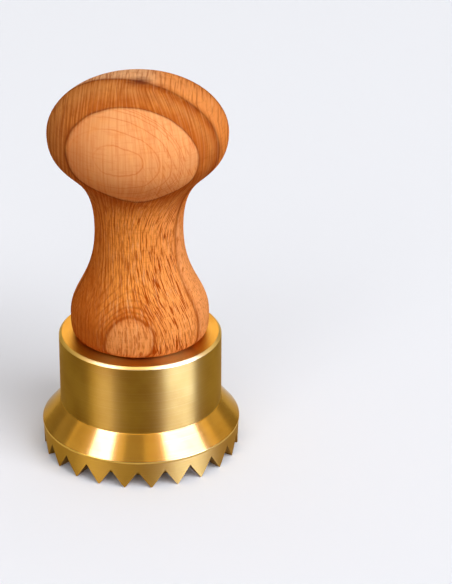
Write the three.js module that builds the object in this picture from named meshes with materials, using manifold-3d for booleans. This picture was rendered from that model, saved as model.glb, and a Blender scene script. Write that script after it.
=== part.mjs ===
// Ravioli stamp: a turned beech handle on a brass head with a ring of V teeth and a sprung ejector plate.
// Millimetres, +Z up. The origin is on the stamp's axis, in the plane of the tooth crests.
import * as THREE from 'three';
import { mergeVertices } from 'three/addons/utils/BufferGeometryUtils.js';
import Module from 'manifold-3d';

// Brass head
const flangeDiameter = 50;
const flareWidth = 4.6;          // radial step from the flange edge in to the cylinder
const flareHeight = 5.5;
const flangeLand = 0.45;         // narrow cylindrical edge between the flare and the band
const bandHeight = 7;            // tooth crests to the flange edge
const bandTaper = 0.35;          // the band draws in by this much down to the tooth tips
const headHeight = 31.4;
const topChamfer = 0.7;

// Tooth ring
const toothCount = 23;
const toothHeight = 4.7;
const crestLand = 0.3;           // width of the small flat left on a tooth tip
const ringWidth = 4.35;          // radial width of the ring at the tooth tips

// Ejector plate
const rimRecess = 0.6;           // rim of the plate above the plane of the crests
const rimLand = 0.5;
const dishDepth = 4.5;
const plateSideHeight = 4.6;
const plateSideTaper = 0.5;      // the side of the plate narrows by this much towards its rim
const plateGap = 0.4;            // radial gap between the plate and the bore
const dimpleDepth = 0.5;         // centre mark in the dish
const dimpleRadius = 0.7;
const hubDiameter = 23;
const hubWall = 3.5;             // brass behind the middle of the dish
const bossDiameter = 14;
const bossHeight = 5.4;
const travel = 4.8;
const travelSpare = 0.2;         // left above the plate at the end of its travel

// Stem, stop and stud
const stemDiameter = 6;
const stemInset = 6.4;           // length of stem screwed into the boss
const stemEnd = 1;               // stem showing past the nut
const stemChamfer = 0.6;
const runningClearance = 0.08;   // radial, stem in stud
const threadClearance = 0.1;     // radial, between screwed pieces
const seatGap = 0.1;             // axial, between pieces that rest on each other
const studDiameter = 14;
const studProjection = 10;       // stud standing above the head
const washerDiameter = 12.5;
const washerThickness = 1.5;
const nutAcrossFlats = 10;
const nutHeight = 4;

// Return spring
const springLength = 13.4;       // room for the spring with the plate at rest
const springMeanDiameter = 17.6;
const springWire = 1.3;
const springTurns = 4.5;
const chamberClearance = 0.7;    // radial, hub in the spring chamber

// Beech handle
const baseDiameter = 25.8;
const bulgeDiameter = 34.5;
const neckDiameter = 21.8;
const knobDiameter = 44;
const bulgeHeight = 5.6;         // base to the widest part of the bulge
const neckRise = 23;             // bulge to neck
const knobRise = 25;             // neck to the widest part of the knob
const crownHeight = 13.65;       // widest part of the knob to its top
const insertWall = 2.2;
const insertHeight = 9.5;
const insertGlue = 0.15;         // radial glue gap round the insert
const cavityClearance = 0.8;     // round and above the moving stop

// Steps round each turned piece
const headSteps = toothCount * 4;
const plateSteps = toothCount * 2;
const handleSteps = 48;
const innerSteps = 24;

// Derived sizes
const flangeRadius = flangeDiameter / 2;
const cylinderRadius = flangeRadius - flareWidth;
const tipRadius = flangeRadius - bandTaper;
const boreRadius = tipRadius - ringWidth;
const flareTop = bandHeight + flangeLand + flareHeight;
const plateRadius = boreRadius - plateGap;
const rimRadius = plateRadius - plateSideTaper;
const shoulderHeight = rimRecess + plateSideHeight;
const ceilingHeight = shoulderHeight + travel + travelSpare;
const hubRadius = hubDiameter / 2;
const hubTop = rimRecess + dishDepth + hubWall;
const bossTop = hubTop + bossHeight;
const chamberRadius = hubRadius + chamberClearance;
const chamberTop = hubTop + springLength;
const stemRadius = stemDiameter / 2;
const studRadius = studDiameter / 2;
const studBore = stemRadius + runningClearance;
const studTop = headHeight + studProjection;
const washerBase = studTop + seatGap;
const nutBase = washerBase + washerThickness + seatGap;
const stemTop = nutBase + nutHeight + stemEnd;
const insertBore = studRadius + threadClearance;
const insertRadius = insertBore + insertWall;
const cavityRadius = washerDiameter / 2 + cavityClearance;
const cavityTop = stemTop + travel + cavityClearance;

const brass = { color: 0xc9973f, roughness: 0.28, metalness: 1 };
const steel = { color: 0xb4b7ba, roughness: 0.35, metalness: 1 };
const beech = { color: 0xd98b4c, roughness: 0.55, metalness: 0 };

const wasm = await Module();
wasm.setup();

function named(name, geometry, finish) {
  const mesh = new THREE.Mesh(geometry, new THREE.MeshStandardMaterial(finish));
  mesh.name = name;
  return mesh;
}

// Turns a profile of [radius, height] points about Z. A profile off the axis is closed on itself.
function turned(profile, steps) {
  const points = profile.map(([radius, height]) => new THREE.Vector2(radius, height));
  const first = points[0];
  if (first.x > 0) points.push(first.clone());
  return new THREE.LatheGeometry(points, steps).rotateX(Math.PI / 2);
}

function toSolid(geometry) {
  const bare = geometry.clone().deleteAttribute('normal').deleteAttribute('uv');
  const merged = mergeVertices(bare, 1e-4);
  const vertProperties = new Float32Array(merged.attributes.position.array);
  const triVerts = new Uint32Array(merged.index.array);
  return new wasm.Manifold(new wasm.Mesh({ numProp: 3, vertProperties, triVerts }));
}

function fromSolid(solid) {
  const mesh = solid.getMesh();
  const geometry = new THREE.BufferGeometry();
  geometry.setAttribute('position', new THREE.BufferAttribute(mesh.vertProperties, 3));
  geometry.setIndex(new THREE.BufferAttribute(mesh.triVerts, 1));
  geometry.computeVertexNormals();
  return geometry;
}

// One straight V groove across the ring, pointing along +X before it is turned to its place.
function toothGroove() {
  const past = 1;
  const halfWidth = tipRadius * Math.sin(Math.PI / toothCount) - crestLand / 2;
  const openWidth = halfWidth * (1 + past / toothHeight);
  const section = new THREE.Shape();
  section.moveTo(0, toothHeight);
  section.lineTo(-openWidth, -past);
  section.lineTo(openWidth, -past);
  const length = ringWidth + bandTaper + 2 * past;
  const groove = new THREE.ExtrudeGeometry(section, { depth: length, bevelEnabled: false });
  groove.rotateX(Math.PI / 2).rotateZ(Math.PI / 2);
  return groove.translate(boreRadius - past, 0, 0);
}

function cutterBody() {
  const profile = [
    [tipRadius, 0],
    [flangeRadius, bandHeight],
    [flangeRadius, bandHeight + flangeLand],
    [cylinderRadius, flareTop],
    [cylinderRadius, headHeight - topChamfer],
    [cylinderRadius - topChamfer, headHeight],
    [studRadius + threadClearance, headHeight],
    [studRadius + threadClearance, chamberTop],
    [chamberRadius, chamberTop],
    [chamberRadius, ceilingHeight],
    [boreRadius, ceilingHeight],
    [boreRadius, 0],
  ];
  let solid = toSolid(turned(profile, headSteps));
  const groove = toothGroove();
  for (let tooth = 0; tooth < toothCount; tooth += 1) {
    const angle = -Math.PI / 2 + (tooth * 2 * Math.PI) / toothCount;
    solid = solid.subtract(toSolid(groove.clone().rotateZ(angle)));
  }
  return fromSolid(solid);
}

// Concave face of the plate, from the edge of the centre mark out to the rim.
function dishArc() {
  const edge = rimRadius - rimLand;
  const sphere = (edge * edge + dishDepth * dishDepth) / (2 * dishDepth);
  const centre = rimRecess + dishDepth - sphere;
  const steps = 7;
  const arc = [];
  for (let step = 0; step <= steps; step += 1) {
    const radius = dimpleRadius + ((edge - dimpleRadius) * step) / steps;
    arc.push([radius, centre + Math.sqrt(sphere * sphere - radius * radius)]);
  }
  return arc;
}

function ejectorPlate() {
  const socketRadius = stemRadius + threadClearance;
  const socketFloor = bossTop - stemInset - seatGap;
  const profile = [
    [0, rimRecess + dishDepth + dimpleDepth],
    ...dishArc(),
    [rimRadius, rimRecess],
    [plateRadius, shoulderHeight],
    [hubRadius, shoulderHeight],
    [hubRadius, hubTop],
    [bossDiameter / 2, hubTop],
    [bossDiameter / 2, bossTop],
    [socketRadius, bossTop],
    [socketRadius, socketFloor],
    [0, socketFloor],
  ];
  return turned(profile, plateSteps);
}

function ejectorStem() {
  const foot = bossTop - stemInset;
  const profile = [
    [0, foot],
    [stemRadius - stemChamfer, foot],
    [stemRadius, foot + stemChamfer],
    [stemRadius, stemTop - stemChamfer],
    [stemRadius - stemChamfer, stemTop],
    [0, stemTop],
  ];
  return turned(profile, innerSteps);
}

function tubeProfile(inner, outer, base, top) {
  return [[inner, base], [outer, base], [outer, top], [inner, top]];
}

function guideStud() {
  return turned(tubeProfile(studBore, studRadius, chamberTop, studTop), innerSteps);
}

function handleInsert() {
  const base = headHeight + seatGap;
  return turned(tubeProfile(insertBore, insertRadius, base, headHeight + insertHeight), innerSteps);
}

function stopWasher() {
  const inner = stemRadius + threadClearance;
  const profile = tubeProfile(inner, washerDiameter / 2, washerBase, washerBase + washerThickness);
  return turned(profile, innerSteps);
}

function stopNut() {
  const corner = nutAcrossFlats / 2 / Math.cos(Math.PI / 6);
  const hexagon = new THREE.Shape();
  for (let side = 0; side < 6; side += 1) {
    const angle = (side * Math.PI) / 3;
    const point = new THREE.Vector2(corner * Math.cos(angle), corner * Math.sin(angle));
    if (side === 0) hexagon.moveTo(point.x, point.y);
    else hexagon.lineTo(point.x, point.y);
  }
  hexagon.closePath();
  const hole = new THREE.Path();
  hole.absarc(0, 0, stemRadius + threadClearance, 0, 2 * Math.PI, true);
  hexagon.holes.push(hole);
  const settings = { depth: nutHeight, bevelEnabled: false, curveSegments: innerSteps };
  return new THREE.ExtrudeGeometry(hexagon, settings).translate(0, 0, nutBase);
}

class SpringCurve extends THREE.Curve {
  getPoint(t, target = new THREE.Vector3()) {
    const lowest = hubTop + seatGap + springWire / 2;
    const highest = chamberTop - seatGap - springWire / 2;
    const angle = t * springTurns * 2 * Math.PI;
    const radius = springMeanDiameter / 2;
    const height = lowest + (highest - lowest) * t;
    return target.set(radius * Math.cos(angle), radius * Math.sin(angle), height);
  }
}

// Least gap between neighbouring turns of the spring, measured on points along its wire.
function leastTurnGap(curve, stepsPerTurn) {
  const count = Math.round(springTurns * stepsPerTurn);
  const points = curve.getPoints(count);
  let least = Infinity;
  for (let i = 0; i < points.length; i += 1) {
    for (let j = i + Math.floor(stepsPerTurn / 2); j < points.length; j += 1) {
      least = Math.min(least, points[i].distanceTo(points[j]) - springWire);
    }
  }
  return least;
}

function returnSpring() {
  const stepsPerTurn = 16;
  const wireSides = 8;
  const curve = new SpringCurve();
  const section = new THREE.Shape();
  section.absarc(0, 0, springWire / 2, 0, 2 * Math.PI);
  const settings = {
    steps: Math.round(springTurns * stepsPerTurn),
    extrudePath: curve,
    curveSegments: wireSides / 2,
    bevelEnabled: false,
  };
  console.log('least gap between spring turns, mm:', leastTurnGap(curve, stepsPerTurn).toFixed(2));
  return new THREE.ExtrudeGeometry(section, settings);
}

// Outside of the handle as one smooth path: round foot, bulge, neck, underside of the knob and crown.
function handleOutline() {
  const base = headHeight;
  const bulge = base + bulgeHeight;
  const neck = bulge + neckRise;
  const knob = neck + knobRise;
  const bulgeRadius = bulgeDiameter / 2;
  const neckRadius = neckDiameter / 2;
  const knobRadius = knobDiameter / 2;
  const outline = new THREE.Path();
  outline.moveTo(baseDiameter / 2, base);
  outline.bezierCurveTo(bulgeRadius, base, bulgeRadius, bulge - 0.8 * bulgeHeight, bulgeRadius, bulge);
  outline.bezierCurveTo(
    bulgeRadius, bulge + 0.3 * neckRise, neckRadius, neck - 0.59 * neckRise, neckRadius, neck,
  );
  outline.bezierCurveTo(
    neckRadius, neck + 0.7 * knobRise, knobRadius, knob - 0.44 * knobRise, knobRadius, knob,
  );
  outline.absellipse(0, knob, knobRadius, crownHeight, 0, Math.PI / 2);
  return outline.getPoints(8).map((point) => [Math.max(point.x, 0), point.y]);
}

function handle() {
  const insertHole = insertRadius + insertGlue;
  const insertTop = headHeight + insertHeight + seatGap;
  const inside = [
    [0, cavityTop],
    [cavityRadius, cavityTop],
    [cavityRadius, insertTop],
    [insertHole, insertTop],
    [insertHole, headHeight],
  ];
  const outside = handleOutline();
  outside[outside.length - 1][0] = 0;
  return turned([...inside, ...outside], handleSteps);
}

const stamp = new THREE.Group();
stamp.name = 'ravioli_stamp';
stamp.add(
  named('cutter_body', cutterBody(), brass),
  named('handle', handle(), beech),
  named('handle_insert', handleInsert(), brass),
  named('guide_stud', guideStud(), steel),
  named('return_spring', returnSpring(), steel),
);
const ejector = new THREE.Group();
ejector.name = 'ejector';
ejector.add(
  named('ejector_plate', ejectorPlate(), brass),
  named('ejector_stem', ejectorStem(), steel),
  named('stop_washer', stopWasher(), steel),
  named('stop_nut', stopNut(), steel),
);
stamp.add(ejector);

export default stamp;
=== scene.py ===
# Ravioli stamp: turned beech knob on a brass head with V teeth and a sprung ejector plate
import math
import bmesh
import bpy
from mathutils import Matrix, Vector
from mathutils.geometry import interpolate_bezier


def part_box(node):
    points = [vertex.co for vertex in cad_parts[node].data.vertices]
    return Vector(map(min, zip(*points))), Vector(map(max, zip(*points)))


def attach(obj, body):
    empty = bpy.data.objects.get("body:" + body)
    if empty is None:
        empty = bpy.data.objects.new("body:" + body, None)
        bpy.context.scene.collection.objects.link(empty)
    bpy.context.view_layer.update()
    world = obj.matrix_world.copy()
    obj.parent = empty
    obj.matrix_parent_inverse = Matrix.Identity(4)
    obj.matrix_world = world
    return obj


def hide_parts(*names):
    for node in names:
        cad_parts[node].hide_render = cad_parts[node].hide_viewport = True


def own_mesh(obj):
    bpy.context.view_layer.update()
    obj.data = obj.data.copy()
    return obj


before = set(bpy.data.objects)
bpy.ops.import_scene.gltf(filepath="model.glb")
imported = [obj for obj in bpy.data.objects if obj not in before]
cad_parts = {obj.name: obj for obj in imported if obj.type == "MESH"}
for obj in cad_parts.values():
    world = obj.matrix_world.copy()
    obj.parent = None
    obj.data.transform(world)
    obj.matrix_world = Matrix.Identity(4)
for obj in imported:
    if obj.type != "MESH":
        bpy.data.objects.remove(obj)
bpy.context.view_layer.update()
mm = 0.001
fullTurn = 2 * math.pi
sharpAngle = math.radians(35)  # corners over this stay crisp where no bevel rounds them
weldDistance = 0.0005          # mm
cutTolerance = 1e-8            # m, for the planes that trim a mesh
print("frame loaded:", len(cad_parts), "nodes")


# Mesh helpers
def everything(bm):
    return bm.verts[:] + bm.edges[:] + bm.faces[:]


def profileChain(bm, points, closed=False):  # points are (radius, height) in mm, drawn in the XZ plane
    verts = [bm.verts.new((radius * mm, 0, height * mm)) for radius, height in points]
    edges = [bm.edges.new(pair) for pair in zip(verts, verts[1:])]
    if closed:
        edges.append(bm.edges.new((verts[-1], verts[0])))
    return verts + edges


def turnOnLathe(bm, geom, steps, angle=fullTurn, rise=0.0):  # with a rise, in mm, it becomes a helix
    bmesh.ops.spin(bm, geom=geom, cent=(0, 0, 0), axis=(0, 0, 1), dvec=(0, 0, rise / steps * mm), angle=angle,
                   steps=steps, use_merge=angle == fullTurn and not rise, use_duplicate=False)


def cleanSkin(bm):
    bmesh.ops.remove_doubles(bm, verts=bm.verts[:], dist=weldDistance * mm)
    bmesh.ops.dissolve_degenerate(bm, edges=bm.edges[:], dist=weldDistance * mm)
    bmesh.ops.recalc_face_normals(bm, faces=bm.faces[:])


def cutEdges(cut):
    return [part for part in cut["geom_cut"] if isinstance(part, bmesh.types.BMEdge)]


def finishPiece(bm, name, body, node, materials, edgeRound=None):
    mesh = bpy.data.meshes.new(name)
    for face in bm.faces:
        face.smooth = True
    for edge in bm.edges:
        edge.smooth = bool(edgeRound) or edge.calc_face_angle(0) < sharpAngle
    bm.to_mesh(mesh)
    bm.free()
    for material in materials:
        mesh.materials.append(material)
    piece = bpy.data.objects.new(name, mesh)
    bpy.context.scene.collection.objects.link(piece)
    if edgeRound:
        bevel = piece.modifiers.new("edge_round", "BEVEL")
        bevel.limit_method = "ANGLE"
        bevel.angle_limit = math.radians(edgeRound["angle"])
        bevel.width = edgeRound["width"] * mm
        bevel.segments = edgeRound["segments"]
        bevel.miter_outer = "MITER_ARC"
        weighted = piece.modifiers.new("flat_shading", "WEIGHTED_NORMAL")
        weighted.keep_sharp = False
    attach(piece, body)
    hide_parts(node)
    print("piece made:", name, len(mesh.polygons), "faces")
    return piece


# Node helpers
def addNode(tree, kind, values=None, **settings):
    node = tree.nodes.new(kind)
    for key, value in settings.items():
        setattr(node, key, value)
    for key, value in (values or {}).items():
        if isinstance(value, bpy.types.NodeSocket):
            tree.links.new(value, node.inputs[key])
        else:
            node.inputs[key].default_value = value
    return node


def calc(tree, operation, first, second=0.0, clamp=False):
    node = addNode(tree, "ShaderNodeMath", {0: first, 1: second}, operation=operation, use_clamp=clamp)
    return node.outputs[0]


def product(tree, *factors):
    total = factors[0]
    for factor in factors[1:]:
        total = calc(tree, "MULTIPLY", total, factor)
    return total


def distance(tree, x, y):
    return calc(tree, "SQRT", calc(tree, "ADD", product(tree, x, x), product(tree, y, y)))


def mapRange(tree, value, low, high, toLow=0.0, toHigh=1.0, kind="SMOOTHSTEP"):
    node = addNode(tree, "ShaderNodeMapRange",
                   {"Value": value, "From Min": low, "From Max": high, "To Min": toLow, "To Max": toHigh},
                   interpolation_type=kind)
    return node.outputs["Result"]


def mixColour(tree, factor, first, second):
    mix = tree.nodes.new("ShaderNodeMix")
    mix.data_type = "RGBA"
    for index, value in ((0, factor), (6, first), (7, second)):  # 6 and 7 in and 2 out are the colour sockets
        if isinstance(value, bpy.types.NodeSocket):
            tree.links.new(value, mix.inputs[index])
        else:
            mix.inputs[index].default_value = value
    return mix.outputs[2]


def split(tree, place):
    return addNode(tree, "ShaderNodeSeparateXYZ", {0: place}).outputs


def joined(tree, x, y, z):
    return addNode(tree, "ShaderNodeCombineXYZ", {0: x, 1: y, 2: z}).outputs[0]


def linear(red, green, blue):  # sRGB 0-255 to a linear colour
    def channel(value):
        share = value / 255
        return share / 12.92 if share <= 0.04045 else ((share + 0.055) / 1.055) ** 2.4
    return (channel(red), channel(green), channel(blue), 1.0)


def newMaterial(name):
    material = bpy.data.materials.new(name)
    material.use_nodes = True
    tree = material.node_tree
    shader = tree.nodes["Principled BSDF"]
    return material, tree, shader


def objectInMm(tree):
    coords = addNode(tree, "ShaderNodeTexCoord").outputs["Object"]
    scaled = addNode(tree, "ShaderNodeVectorMath", {0: coords, "Scale": 1 / mm}, operation="SCALE")
    return scaled.outputs[0]


def grain(tree, place, scale, shift=(0, 0, 0), detail=2.0, roughness=0.5):  # noise drawn out along the axes
    drawn = addNode(tree, "ShaderNodeMapping", {"Vector": place, "Location": shift, "Scale": scale})
    noise = addNode(tree, "ShaderNodeTexNoise", {"Vector": drawn.outputs[0], "Scale": 1.0, "Detail": detail,
                                                "Roughness": roughness})
    return noise.outputs["Fac"]


# Beech: x, y and z in mm; ring is 0 on the line round the knob's pale oval and 1 on the line over the crown
beechLook = {
    # depth of these two growth layers in mm: shares of 1, x, xx, z, zz, xz and xzz, with x and z scaled
    "faceLayer": (-14.78, 0.32, -2.63, 1.86, 0.65, -0.96, -3.48),
    "crownLayer": (-2.75, -6.58, -0.5, 1.9, -0.78, -2.06, 0.0),
    "layerWidth": 20.0,         # mm of x that count as 1
    "layerMiddle": 70.0,        # z that counts as 0
    "layerRise": 30.0,          # mm of z that count as 1
    "waver": 1.0,               # mm from side to side that a layer line wanders
    "widerBehind": 0.45,        # share by which the years behind the crown line are wider
    "arcTilt": 0.03,            # rings per mm that the fine lines in the pale oval lean
    # place and width of each fine line, in rings
    "arcs": ((-0.69, 0.007), (-0.54, 0.013), (-0.36, 0.016), (-0.2, 0.016), (-0.13, 0.016), (-0.08, 0.016)),
    "archMiddle": -2.5,         # x of the small oval at the foot
    "arches": [(spot, 0.016) for spot in (0.05, 0.1, 0.16, 0.23, 0.31, 0.4, 0.5, 0.6)],
    "lineCore": 0.2,            # share of a fine line's width that is full
    "rayCentre": 16.0,          # depth that the ray planes turn round
    "rayDeepest": -6.0,         # y behind which they turn no more
    "knobGrainFrom": 68.0,      # z over which the grain grows longer
    "knobGrainStretch": 0.75,
    "stripePitch": 1.0,         # mm between the long stripes
    "stripeDrift": 2.4,         # stripes that a drift of 1 moves across
    "calmShare": 0.55,          # what the pale oval takes from stripes, flecks and pores
    "slantFrom": 50.0,          # z over which the flecks on the right slant
    "dashLean": 0.3,            # mm across for each mm up
    "knotPlace": (0.6, -1.4),   # x and y on the crown
    "knotSize": (4.0, 3.8),
    "knotRipple": 0.9,
    "fleckDepth": 0.7,
    "poreDepth": 0.5,
    "bumpStrength": 0.3,
    "bumpDistance": 0.08,       # mm
    "tones": {
        "front": linear(233, 163, 105),
        "frontLeft": linear(222, 146, 88),
        "frontLow": linear(230, 150, 84),
        "early": linear(200, 127, 65),
        "late": linear(182, 92, 29),
        # painted shade and light on the neck and bulge: darker and more saturated on the left, where shade
        # falls, paler on the right, where the key light falls
        "lowLeftShade": linear(200, 106, 36),
        "low": linear(243, 156, 70),
        "lowRight": linear(240, 156, 84),
        "back": linear(222, 132, 60),
        "backLow": linear(238, 158, 94),
        # painted highlight: a paler tone on top, standing in for the sheen that the overhead light gives the
        # crown
        "crown": linear(222, 164, 116),
        "line": linear(112, 48, 14),
        "lowLine": linear(140, 58, 14),      # the same on the neck and bulge
        "stripe": linear(150, 68, 18),
        "lowStripe": linear(172, 76, 14),    # the same on the neck and bulge
        "paleStripe": linear(208, 98, 34),   # the same in the knob's pale oval
        "fleck": linear(152, 57, 6),
        "fibre": linear(246, 184, 124),
        "knot": linear(96, 42, 26),
    },
    "fades": {  # from, to, and the shares there where they aren't 0 and 1
        # tones of the years
        "frontAcross": (-16, -3),
        "frontHeight": (45, 70),
        "lateByOval": (0.0, 0.75, 0.95, 0.0),
        "byOvalAcross": (-21, -8, 0.45, 1.0),
        "lateByCrown": (0.25, 0.95),
        "byCrownAcross": (-6, 5, 0.25, 1.0),
        # x over which the painted shade on the left and the painted light on the right of the neck and bulge
        # fade in
        "lowLeftShade": (-13, -3),
        "lowRight": (-3, 10),
        "neckTop": (65, 74),
        "lateEnd": (0.66, 0.97),
        "lateEndAcross": (-12, 6, 0.15, 1.0),
        "knobFoot": (66, 76),
        "backLow": (70, 60),
        "backRight": (0, 6),
        # painted highlight on the crown: the heights over which it fades in, then how it fades out to the
        # right
        "crownHeight": (84, 97),
        "crownSheenAcross": (1, 8, 1.0, 0.2),
        "lateBehind": (0.6, 1.0, 0.0, 0.55),
        "smudge": (1.22, 1.0),
        "smudgeAcross": (-2, 6, 0.0, 0.4),
        "faceEdge": (-0.03, 0.03),
        "crownEdge": (0.985, 1.015),
        "patches": (0.45, 0.75, 0.0, 0.25),
        # dark lines between the years
        "outerLine": (0.3, 0.7, 0.0, -0.5),
        "lineWidth": (45, 68, 1.1, 1.0),
        "lineFirm": (42, 66, 0.95, 1.0),
        "linePatches": (0.3, 0.65, 0.7, 1.0),
        "softAcross": (2, 6),
        "softFrom": (44, 48),
        "softTo": (68, 62),
        "softLine": (0.0, 1.0, 1.0, 0.55, "LINEAR"),
        "halo": (0.0, 0.075, 0.5, 0.0),
        "line": (0.004, 0.028, 0.9, 0.0),
        "knobLine": (56, 66),
        "footShadeStart": (-0.02, 0.01),
        "footShadeEnd": (0.04, 0.34, 0.5, 0.0),
        "footShadeHeight": (50, 44),
        "footShadeAcross": (0, 6, 1.0, 0.4),
        # fine lines inside a year
        "arcRing": (-0.06, -0.02, 0.5, 0.0),
        "arcAcross": (-11, -3, 0.3, 1.0),
        "archHeight": (44, 58, 0.6, 0.0),
        "archAside": (4, 11, 1.0, 0.15),
        "archPatches": (0.35, 0.6, 0.4, 1.0),
        # ray planes and the two ovals
        "onKnob": (64, 78),
        "rayTurn": (-9, 6, -0.15, 1.0),
        "rayTurnOnKnob": (64, 78, 1.0, 0.35),
        "sideRays": (0.7, 0.97, 0.0, 5.0),
        "sideRayHeight": (78, 64),
        "knobDepth": (0.0, 1.0, 1.0, 0.16, "LINEAR"),
        "calmRing": (-0.08, 0.02, 1.0, 0.0),
        "calmHeight": (46, 62),
        "footRing": (0.02, -0.06),
        "footHeight": (50, 46),
        # long stripes
        "stripe": (0.1, 1.0),
        "stripeStrength": (0.34, 0.64, 0.15, 0.85),
        "stripeAcross": (10, -6, 0.25, 1.0),
        "stripeBehind": (0.95, 1.05, 1.0, 0.35),
        "stripeOnKnob": (0.0, 1.0, 1.0, 0.75),
        "stripeAside": (0.86, 0.98, 1.0, 0.4),
        "stripeOnFoot": (0.0, 1.0, 1.0, 0.45, "LINEAR"),
        "stripeGap": (-0.2, -1.0),
        "gapStrength": (0.64, 0.34, 0.04, 0.15),
        # flecks, dashes, fibres and pores
        "slantAcross": (-2, 8, 0.0, 0.24),
        "slantTop": (68, 58),
        "fleck": (0.558, 0.605, 0.0, 0.95),
        "fleckHeight": (64, 76, 1.0, 0.3),
        "fleckAcross": (-10, 4, 0.3, 1.0),
        "fleckAside": (0.72, 0.92, 1.0, 0.1),
        "fleckOnFoot": (0.0, 1.0, 1.0, 0.5, "LINEAR"),
        "dash": (0.55, 0.64, 0.0, 0.42),
        "dashAcross": (-2, 8),
        "fibre": (0.5, 0.3, 0.0, 0.45),
        "fibreAcross": (-12, -1, 0.3, 1.0),
        "fibreOnKnob": (0.0, 1.0, 1.0, 0.35),
        "pore": (0.48, 0.68, 0.0, 0.65),
        "weave": (0.5, 0.7, 0.0, 0.16),
        "knot": (0.35, 1.5, 0.9, 0.0),
        "knotHeight": (90, 94),
        "roughness": (0.2, 0.8, 0.47, 0.6, "LINEAR"),
    },
    "grain": {
        "wander": {"scale": (0.16, 0.16, 0.05), "detail": 3.0},
        "patches": {"scale": (0.2, 0.2, 0.2), "shift": (7, 0, 3), "detail": 3.0, "roughness": 0.6},
        "stripeDrift": {"scale": (0.3, 0.08, 0.04)},
        "stripeStrength": {"scale": (0.5, 0.1, 0.07)},
        "flecks": {"scale": (2.4, 0.12, 0.25), "detail": 1.0},
        "dashes": {"scale": (2.4, 0.1, 0.3), "detail": 1.0},
        "fibres": {"scale": (2.0, 0.4, 0.24), "shift": (0, 9, 0), "detail": 2.5, "roughness": 0.7},
        "pores": {"scale": (2.4, 0.5, 0.4), "roughness": 0.65},
        "weave": {"scale": (0.3, 0.3, 2.2), "detail": 1.0},
        "knotRipple": {"scale": (0.6, 0.9, 0.4), "detail": 3.0},
    },
}


def tone(name):
    return beechLook["tones"][name]


def fade(tree, value, name):
    return mapRange(tree, value, *beechLook["fades"][name])


def woodGrain(tree, place, name):
    return grain(tree, place, **beechLook["grain"][name])


def layerDepth(tree, x, z, shape):
    across = calc(tree, "DIVIDE", x, beechLook["layerWidth"])
    up = calc(tree, "DIVIDE", calc(tree, "SUBTRACT", z, beechLook["layerMiddle"]), beechLook["layerRise"])
    depth = shape[0]
    terms = (across, product(tree, across, across), up, product(tree, up, up), product(tree, across, up),
             product(tree, across, up, up))
    for share, term in zip(shape[1:], terms):
        depth = calc(tree, "ADD", depth, product(tree, term, share))
    return depth


def growthLayers(tree, place, x, y, z):
    look = beechLook
    wander = calc(tree, "SUBTRACT", woodGrain(tree, place, "wander"), 0.5)
    depth = calc(tree, "ADD", y, product(tree, wander, look["waver"]))
    face = layerDepth(tree, x, z, look["faceLayer"])
    crown = layerDepth(tree, x, z, look["crownLayer"])
    ring = calc(tree, "DIVIDE", calc(tree, "SUBTRACT", depth, face), calc(tree, "SUBTRACT", crown, face))
    behind = calc(tree, "MAXIMUM", calc(tree, "SUBTRACT", ring, 1.0), 0.0)
    return calc(tree, "SUBTRACT", ring, product(tree, behind, look["widerBehind"]))


def yearTones(tree, ring, x, z):
    front = mixColour(tree, fade(tree, x, "frontAcross"), tone("frontLeft"), tone("front"))
    front = mixColour(tree, fade(tree, z, "frontHeight"), tone("frontLow"), front)
    byOval = product(tree, fade(tree, ring, "lateByOval"), fade(tree, x, "byOvalAcross"))
    byCrown = product(tree, fade(tree, ring, "lateByCrown"), fade(tree, x, "byCrownAcross"))
    middle = mixColour(tree, calc(tree, "MAXIMUM", byOval, byCrown), tone("early"), tone("late"))
    # painted shade on the left of the neck and bulge, painted light on its right
    low = mixColour(tree, fade(tree, x, "lowLeftShade"), tone("lowLeftShade"), tone("low"))
    low = mixColour(tree, fade(tree, x, "lowRight"), low, tone("lowRight"))
    middle = mixColour(tree, fade(tree, z, "neckTop"), low, middle)
    knobFoot = fade(tree, z, "knobFoot")
    lateEnd = product(tree, fade(tree, ring, "lateEnd"), fade(tree, x, "lateEndAcross"), knobFoot)
    middle = mixColour(tree, lateEnd, middle, tone("stripe"))
    lowRight = product(tree, fade(tree, z, "backLow"), fade(tree, x, "backRight"))
    back = mixColour(tree, lowRight, tone("back"), tone("backLow"))
    # painted highlight: the crown turns paler on top, standing in for the overhead light's sheen
    crownSheen = product(tree, fade(tree, z, "crownHeight"), fade(tree, x, "crownSheenAcross"))
    back = mixColour(tree, crownSheen, back, tone("crown"))
    back = mixColour(tree, fade(tree, calc(tree, "FRACT", ring), "lateBehind"), back, tone("late"))
    smudge = product(tree, fade(tree, ring, "smudge"), fade(tree, x, "smudgeAcross"), knobFoot)
    back = mixColour(tree, smudge, back, tone("late"))
    colour = mixColour(tree, fade(tree, ring, "faceEdge"), front, middle)
    return mixColour(tree, fade(tree, ring, "crownEdge"), colour, back)


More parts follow.
